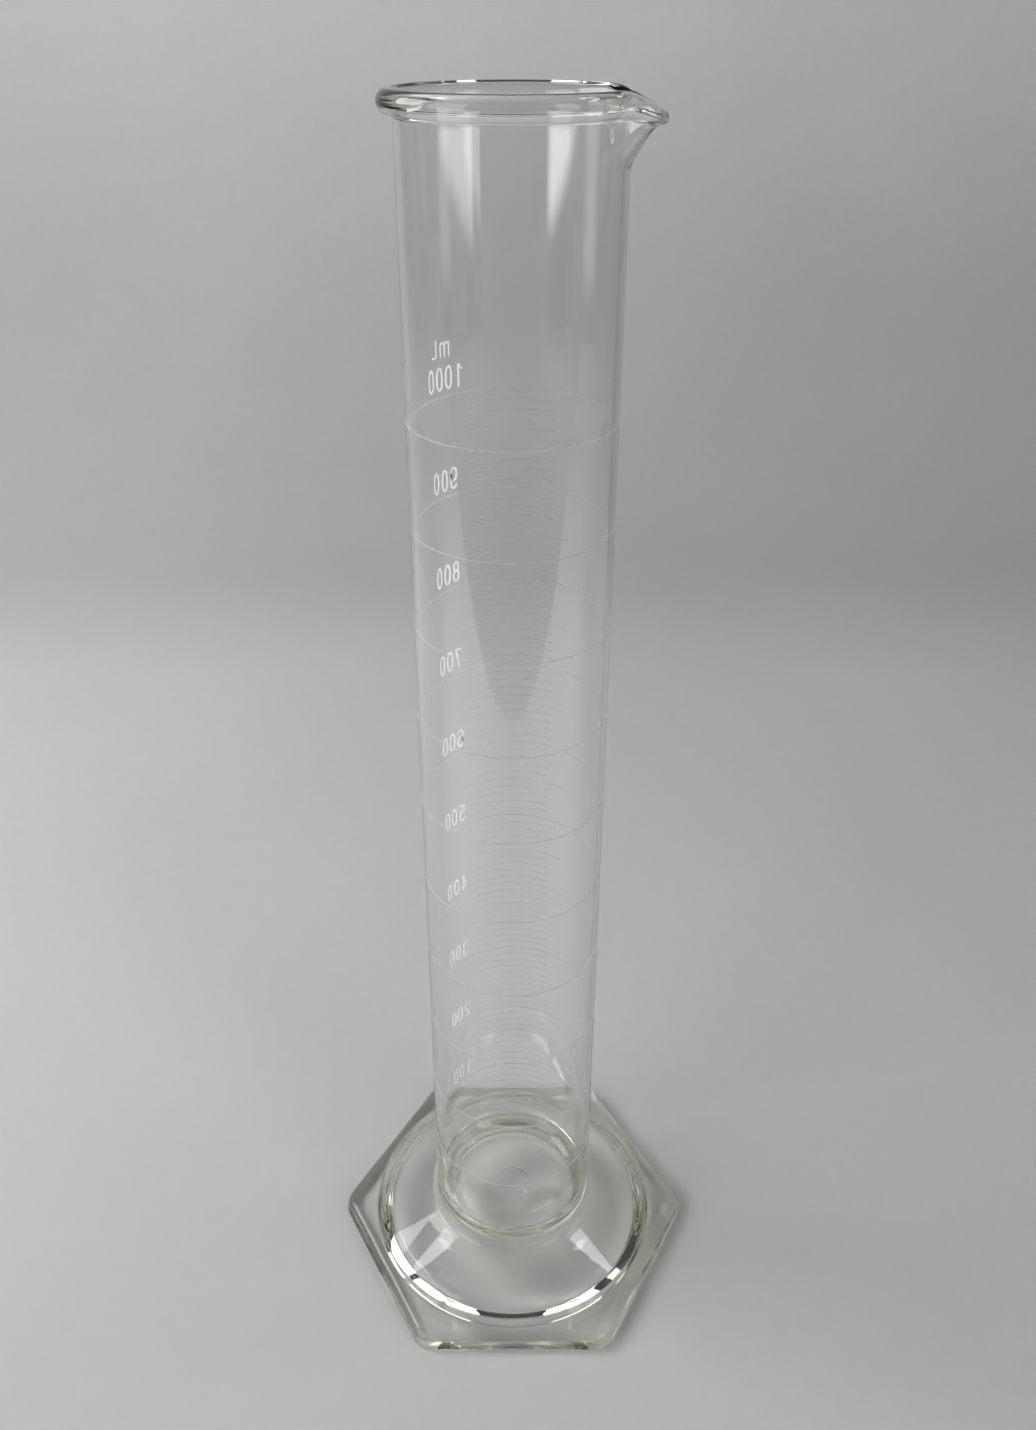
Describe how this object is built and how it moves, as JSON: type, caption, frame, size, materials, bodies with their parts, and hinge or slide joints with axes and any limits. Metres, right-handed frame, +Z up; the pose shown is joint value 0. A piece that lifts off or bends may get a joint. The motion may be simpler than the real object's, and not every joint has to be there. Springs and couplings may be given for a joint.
{
  "type": "graduated cylinder",
  "caption": "Tall clear glass measuring cylinder with a beaded rim, a drawn pour spout, a hexagonal foot with a round boss, and a white enamel volume scale.",
  "frame": {"origin": "centre of the face that the foot stands on, on the barrel's axis", "axes": "+Z up the barrel's axis, +X towards the pour spout and over a corner of the hexagon, +Y towards the middle of the printed scale"},
  "size_m": [0.1474, 0.13, 0.4564],
  "materials": {
    "clear_glass": "clear fire-polished borosilicate glass, faintly green where it is thick",
    "white_enamel": "thin fired white enamel, satin"
  },
  "bodies": {
    "root": {"barrel_tube": "clear_glass", "barrel_floor": "clear_glass", "foot_collar": "clear_glass", "hex_foot": "clear_glass", "rim_bead": "clear_glass", "pour_spout": "clear_glass", "graduation_ring_0100": "white_enamel", "graduation_ring_0200": "white_enamel", "graduation_ring_0300": "white_enamel", "graduation_ring_0400": "white_enamel", "graduation_ring_0500": "white_enamel", "graduation_ring_0600": "white_enamel", "graduation_ring_0700": "white_enamel", "graduation_ring_0800": "white_enamel", "graduation_ring_0900": "white_enamel", "graduation_ring_1000": "white_enamel", "middle_line_0050": "white_enamel", "middle_line_0150": "white_enamel", "middle_line_0250": "white_enamel", "middle_line_0350": "white_enamel", "middle_line_0450": "white_enamel", "middle_line_0550": "white_enamel", "middle_line_0650": "white_enamel", "middle_line_0750": "white_enamel", "middle_line_0850": "white_enamel", "middle_line_0950": "white_enamel", "numeral_0100_digit_1": "white_enamel", "numeral_0100_digit_2": "white_enamel", "numeral_0100_digit_3": "white_enamel", "numeral_0200_digit_1": "white_enamel", "numeral_0200_digit_2": "white_enamel", "numeral_0200_digit_3": "white_enamel", "numeral_0300_digit_1": "white_enamel", "numeral_0300_digit_2": "white_enamel", "numeral_0300_digit_3": "white_enamel", "numeral_0400_digit_1": "white_enamel", "numeral_0400_digit_2": "white_enamel", "numeral_0400_digit_3": "white_enamel", "numeral_0500_digit_1": "white_enamel", "numeral_0500_digit_2": "white_enamel", "numeral_0500_digit_3": "white_enamel", "numeral_0600_digit_1": "white_enamel", "numeral_0600_digit_2": "white_enamel", "numeral_0600_digit_3": "white_enamel", "numeral_0700_digit_1": "white_enamel", "numeral_0700_digit_2": "white_enamel", "numeral_0700_digit_3": "white_enamel", "numeral_0800_digit_1": "white_enamel", "numeral_0800_digit_2": "white_enamel", "numeral_0800_digit_3": "white_enamel", "numeral_0900_digit_1": "white_enamel", "numeral_0900_digit_2": "white_enamel", "numeral_0900_digit_3": "white_enamel", "numeral_1000_digit_1": "white_enamel", "numeral_1000_digit_2": "white_enamel", "numeral_1000_digit_3": "white_enamel", "numeral_1000_digit_4": "white_enamel", "unit_mark_capital_l": "white_enamel", "unit_mark_small_m": "white_enamel"}
  },
  "joints": []
}
